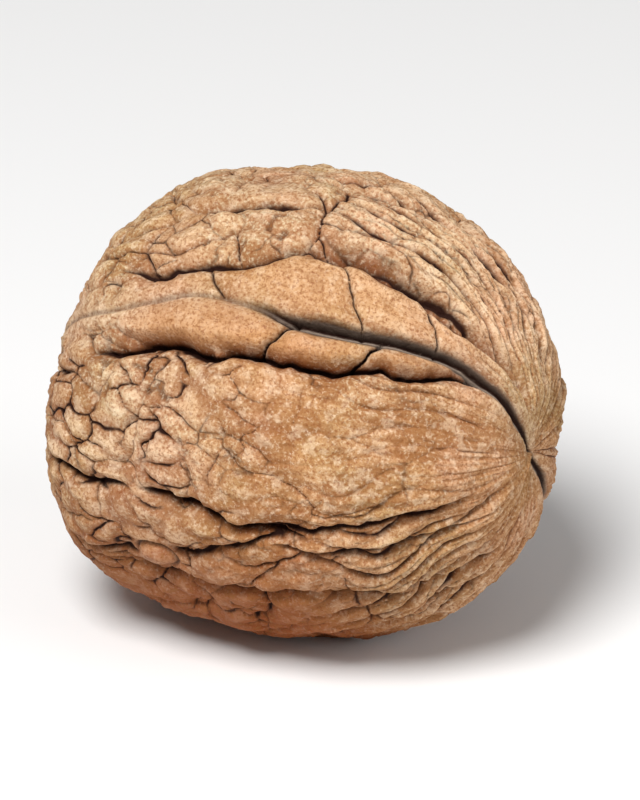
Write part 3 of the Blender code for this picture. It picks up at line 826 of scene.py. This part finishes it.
# The finish is the dry skin with light and shade painted into it: a painted cream highlight on what stands
# out, tan below, painted brown shade in the creases and on the underside, and dark brown in the cracks,
# partly their own colour and partly painted shade, with grey green dust over the top and smooth orange tan
# pads along the lips. Each layer of colour has a share, and most lie only within a band of what they follow,
# from where they start to where they are full.


def paint(red, green, blue):
    """A colour named by the 0 to 255 values that a screen shows."""
    shares = [value / 255 for value in (red, green, blue)]
    linear = [share / 12.92 if share <= 0.04045 else ((share + 0.055) / 1.055) ** 2.4 for share in shares]
    return (*linear, 1)


# Cream of the specks and blotches, and of the painted highlight on what stands out.
CREAM_OF_SPECKS_AND_HIGHLIGHT = paint(244, 219, 188)
PALE = paint(220, 186, 148)
TAN = paint(182, 135, 89)
BROWN = paint(142, 92, 50)
ORANGE_TAN = paint(190, 134, 84)
OLIVE_TAN = paint(176, 142, 90)
ROSE_TAN = paint(212, 162, 128)
# Brown of the painted shade in the creases, and of the fine grain.
CREASE_SHADE_AND_GRAIN_BROWN = paint(124, 62, 26)
# Reddish brown of the painted shade on the underside.
UNDERSIDE_SHADE_BROWN = paint(138, 72, 32)
# Dark brown of the cracks, partly their own colour and partly painted shade.
CRACK_BROWN_AND_SHADE = paint(38, 14, 5)
FIBRE_GREY = paint(164, 146, 130)
DUST = paint(198, 184, 144)
PIT_BROWN = paint(96, 66, 46)

MOTTLING_SIZE = 5 * MM
PATCH_SIZE = 9 * MM
BLOTCH_SIZE = 1.2 * MM
SPECK_SIZE = 0.30 * MM
GRAIN_SIZE = 0.24 * MM

BASE_MOTTLING, BASE_TINT, BASE_SHIFT, BASE_BAND = 0.7, 0.5, 0.1, (0.15, 0.7)
TAN_HEIGHTS = (0.2, 0.5)
PALE_SHARE = 0.35
OLIVE_SHARE, OLIVE_BAND = 0.55, (0.5, 0.64)
ROSE_SHARE, ROSE_BAND = 0.5, (0.48, 0.34)
HIGHLIGHT_CREAM_SHARE, HIGHLIGHT_CREAM_BAND = 0.5, (0.5, 0.9)
BROWN_PAD_SHARE, BROWN_PAD_BAND = 0.6, (0.35, -0.1)
LIP_SHARE, LIP_MOTTLING = 0.35, 0.5
UNDERSIDE_SHADE_SHARE, UNDERSIDE_SHADE_MOTTLING = 0.75, 0.4
DUST_SHARE, DUST_BAND = 0.45, (0.5, 0.6)
CREASE_SHADE_SHARE, CREASE_SHADE_MOTTLING, CREASE_SHADE_SHIFT = 0.85, 0.5, 0.25
STREAK_SHARE, STREAK_BAND = 0.6, (0.45, 0.1)
SEAM_GREY_SHARE = 0.2
PIT_SHARE = 0.85
BROWN_SPECK_SHARE, BROWN_SPECK_BAND = 0.62, (0.48, 0.36)
BROWN_BLOTCH_SHARE, BROWN_BLOTCH_BAND = 0.3, (0.48, 0.36)
CREAM_BLOTCH_SHARE, CREAM_BLOTCH_BAND = 0.24, (0.5, 0.64)
CREAM_SPECK_SHARE, CREAM_SPECK_BAND = 0.36, (0.52, 0.70)
CREAM_LOST_IN_UNDERSIDE_SHADE, CREAM_LOST_ON_LIPS = 0.8, 0.6
GRAIN_SHARE, GRAIN_BAND = 0.5, (0.55, 0.66)
CRACK_BAND = (0.08, 0.6)
FIBRE_SHARE = 0.75

ROUGHNESS_DRY = 0.78
ROUGHNESS_LIP = 0.5
ROUGHNESS_SPREAD = 0.3
SPECULAR = 0.15
BUMP_STRENGTH = 0.8
BUMP_HEIGHT = 0.10 * MM
BUMP_GRAIN = 0.6

shell_finish = bpy.data.materials.new("walnut shell")
shell_finish.use_nodes = True
shader = shell_finish.node_tree.nodes["Principled BSDF"]


class Value:
    """A number or a colour on its way through the shell's finish. Sums of numbers add Math nodes to it."""

    def __init__(self, socket):
        self.socket = socket

    @classmethod
    def node(cls, kind, settings, sockets, output=0):
        """A new node. Its settings come first, and then its sockets are set or linked."""
        made = shell_finish.node_tree.nodes.new(kind)
        for name, setting in settings.items():
            setattr(made, name, setting)
        for name, value in sockets.items():
            if isinstance(value, Value):
                value.feed(made.inputs[name])
            else:
                made.inputs[name].default_value = value
        return cls(made.outputs[output])

    def feed(self, socket):
        """Links this value to a socket."""
        shell_finish.node_tree.links.new(self.socket, socket)

    def __add__(self, other):
        return self.node("ShaderNodeMath", {"operation": "ADD"}, {0: self, 1: other})

    def __mul__(self, other):
        return self.node("ShaderNodeMath", {"operation": "MULTIPLY"}, {0: self, 1: other})

    def __sub__(self, other):
        return self.node("ShaderNodeMath", {"operation": "SUBTRACT"}, {0: self, 1: other})

    def __rsub__(self, other):
        return self.node("ShaderNodeMath", {"operation": "SUBTRACT"}, {0: other, 1: self})

    __radd__ = __add__
    __rmul__ = __mul__

    def between(self, low, high):
        """0 where this value is low, 1 where it is high, and smooth between them."""
        return self.node("ShaderNodeMapRange", {"interpolation_type": "SMOOTHSTEP"},
                         {"Value": self, "From Min": low, "From Max": high})


def mix(share, first, second):
    """The first colour with a share of the second one in it."""
    return Value.node("ShaderNodeMix", {"data_type": "RGBA"}, {"Factor": share, 6: first, 7: second}, 2)


def kept(name):
    """A value that the mesh keeps for every point."""
    settings = {"attribute_type": "GEOMETRY", "attribute_name": name}
    return Value.node("ShaderNodeAttribute", settings, {}, "Fac")


def speckle(size, detail, roughness=0.6):
    """Random values about 0.5 that change over this size."""
    return Value.node("ShaderNodeTexNoise", {}, {
        "Vector": where, "Scale": 1 / size, "Detail": detail, "Roughness": roughness,
    })


where = Value.node("ShaderNodeTexCoord", {}, {}, "Object")
mottling = speckle(MOTTLING_SIZE, detail=3)
patches = speckle(PATCH_SIZE, detail=2)
blotches = speckle(BLOTCH_SIZE, detail=3)
specks = speckle(SPECK_SIZE, detail=3, roughness=0.65)
fine_grain = speckle(GRAIN_SIZE, detail=2)

base = (mottling * BASE_MOTTLING + kept("tint") * BASE_TINT - BASE_SHIFT).between(*BASE_BAND)
outside_underside_shade = 1 - kept("under") * CREAM_LOST_IN_UNDERSIDE_SHADE
not_lips = 1 - kept("lip") * CREAM_LOST_ON_LIPS
layers = (
    (TAN, kept("height").between(*TAN_HEIGHTS)),
    (PALE, kept("pale") * (PALE_SHARE + mottling)),
    (OLIVE_TAN, patches.between(*OLIVE_BAND) * OLIVE_SHARE),
    (ROSE_TAN, patches.between(*ROSE_BAND) * ROSE_SHARE),
    # painted highlight on what stands out
    (CREAM_OF_SPECKS_AND_HIGHLIGHT, kept("height").between(*HIGHLIGHT_CREAM_BAND) * HIGHLIGHT_CREAM_SHARE),
    (BROWN, kept("tint").between(*BROWN_PAD_BAND) * BROWN_PAD_SHARE),
    (ORANGE_TAN, kept("lip") * (LIP_SHARE + mottling * LIP_MOTTLING)),
    # painted shade on the underside
    (UNDERSIDE_SHADE_BROWN, kept("under") * (UNDERSIDE_SHADE_SHARE + mottling * UNDERSIDE_SHADE_MOTTLING)),
    (DUST, kept("dusty") * specks.between(*DUST_BAND) * DUST_SHARE),
    # painted shade in the creases
    (CREASE_SHADE_AND_GRAIN_BROWN, (kept("crease_shade") + mottling * CREASE_SHADE_MOTTLING - CREASE_SHADE_SHIFT) * CREASE_SHADE_SHARE),
    (BROWN, kept("streaks").between(*STREAK_BAND) * STREAK_SHARE),
    (FIBRE_GREY, kept("seam") * SEAM_GREY_SHARE),
    (PIT_BROWN, kept("pits") * PIT_SHARE),
    (BROWN, specks.between(*BROWN_SPECK_BAND) * BROWN_SPECK_SHARE),
    (BROWN, blotches.between(*BROWN_BLOTCH_BAND) * BROWN_BLOTCH_SHARE),
    (CREAM_OF_SPECKS_AND_HIGHLIGHT, blotches.between(*CREAM_BLOTCH_BAND) * CREAM_BLOTCH_SHARE * outside_underside_shade * not_lips),
    (CREAM_OF_SPECKS_AND_HIGHLIGHT, specks.between(*CREAM_SPECK_BAND) * CREAM_SPECK_SHARE * outside_underside_shade * not_lips),
    (CREASE_SHADE_AND_GRAIN_BROWN, fine_grain.between(*GRAIN_BAND) * GRAIN_SHARE),
    # dark of the cracks, partly their own colour and partly painted shade
    (CRACK_BROWN_AND_SHADE, kept("darkness").between(*CRACK_BAND)),
    (FIBRE_GREY, kept("fibres") * FIBRE_SHARE),
)
colour = mix(base, BROWN, TAN)
for layer_colour, share in layers:
    colour = mix(share, colour, layer_colour)
colour.feed(shader.inputs["Base Color"])

dryness = ROUGHNESS_DRY - kept("lip") * (ROUGHNESS_DRY - ROUGHNESS_LIP) + (specks - 0.5) * ROUGHNESS_SPREAD
dryness.feed(shader.inputs["Roughness"])
shader.inputs["Specular IOR Level"].default_value = SPECULAR

bumps = Value.node("ShaderNodeBump", {}, {
    "Strength": BUMP_STRENGTH, "Distance": BUMP_HEIGHT, "Height": specks + fine_grain * BUMP_GRAIN,
}, "Normal")
bumps.feed(shader.inputs["Normal"])
shell_mesh.materials.clear()
shell_mesh.materials.append(shell_finish)

shell = bpy.data.objects.new("walnut_shell", shell_mesh)
bpy.context.scene.collection.objects.link(shell)
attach(shell, "root")
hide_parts("walnut")
